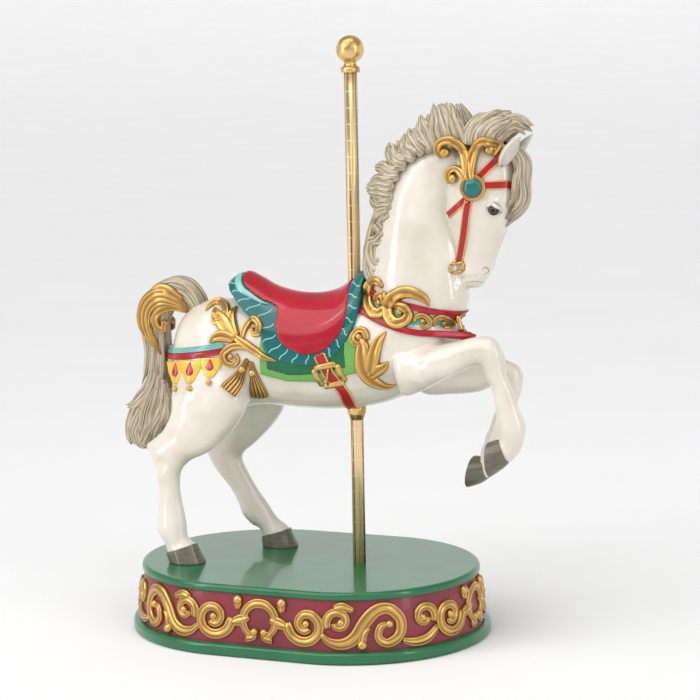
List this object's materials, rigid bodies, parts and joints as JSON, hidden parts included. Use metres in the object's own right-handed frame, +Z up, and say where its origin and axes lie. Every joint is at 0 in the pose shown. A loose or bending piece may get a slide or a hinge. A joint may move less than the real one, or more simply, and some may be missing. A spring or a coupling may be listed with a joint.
{
  "type": "carousel horse on a stand",
  "caption": "Ornamental carousel horse, rearing, in saddle and gilt harness, carried on a vertical pole with a ball finial over an oval plinth with a scroll frieze.",
  "frame": {"origin": "centre of the plinth's flat underside", "axes": "+X towards the horse's head, +Z up along the pole, -Y out of the horse's right side"},
  "size_m": [0.5181, 0.317, 0.692],
  "materials": {
    "ivory_lacquer": "cast resin under a glossy pearly ivory lacquer, antiqued in its hollows",
    "plinth_green": "cast resin in satin green enamel with a gilt frieze on a maroon ground",
    "polished_brass": "polished and clear lacquered",
    "hair_taupe": "cast resin, taupe enamel rubbed back on the locks' crests",
    "gilding": "gold enamel with a brown wash in its hollows",
    "red_enamel": "crimson gloss enamel",
    "teal_enamel": "teal gloss enamel",
    "green_enamel": "green gloss enamel",
    "yellow_enamel": "yellow gloss enamel",
    "hoof_brown": "olive brown satin enamel",
    "eye_gloss": "brown and black gloss enamel",
    "frieze_maroon": "maroon satin enamel"
  },
  "bodies": {
    "root": {"plinth": "plinth_green", "pole": "polished_brass", "belly_collar": "polished_brass", "finial": "polished_brass", "horse": "ivory_lacquer"}
  },
  "joints": []
}
